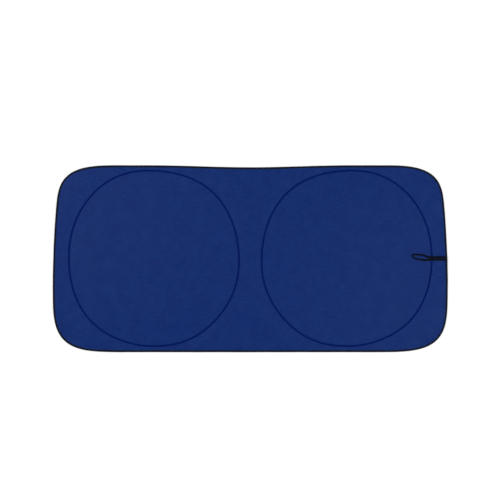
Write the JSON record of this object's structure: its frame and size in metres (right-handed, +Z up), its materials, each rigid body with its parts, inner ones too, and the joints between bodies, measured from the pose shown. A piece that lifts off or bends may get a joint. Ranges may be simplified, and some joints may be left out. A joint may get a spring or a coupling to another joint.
{
  "type": "pop-up windscreen sunshade",
  "caption": "Wide fold-flat cloth sunshade for a car windscreen, sprung open by steel hoops sewn into it, with edge tape and an elastic loop.",
  "frame": {"origin": "under the middle of the shade, on the surface that it lies on, at the middle of its width and height", "axes": "+X along the width, towards the side with the elastic loop; +Y towards the edge that meets the top of the windscreen, which dips in its middle; +Z up, out of the blue face"},
  "size_m": [1.479, 0.7, 0.0092],
  "materials": {
    "cloth": "dark blue woven polyester, with a silver coating on the back",
    "edge_tape": "black ribbed woven tape",
    "casing_tape": "dark navy woven tape",
    "spring_steel": "drawn spring wire",
    "elastic": "black woven flat elastic"
  },
  "bodies": {
    "root": {"panel": "cloth", "edge_binding": "edge_tape", "left_hoop": "spring_steel", "right_hoop": "spring_steel", "left_ferrule": "spring_steel", "right_ferrule": "spring_steel", "left_casing": "casing_tape", "right_casing": "casing_tape", "elastic_loop": "elastic"}
  },
  "joints": []
}
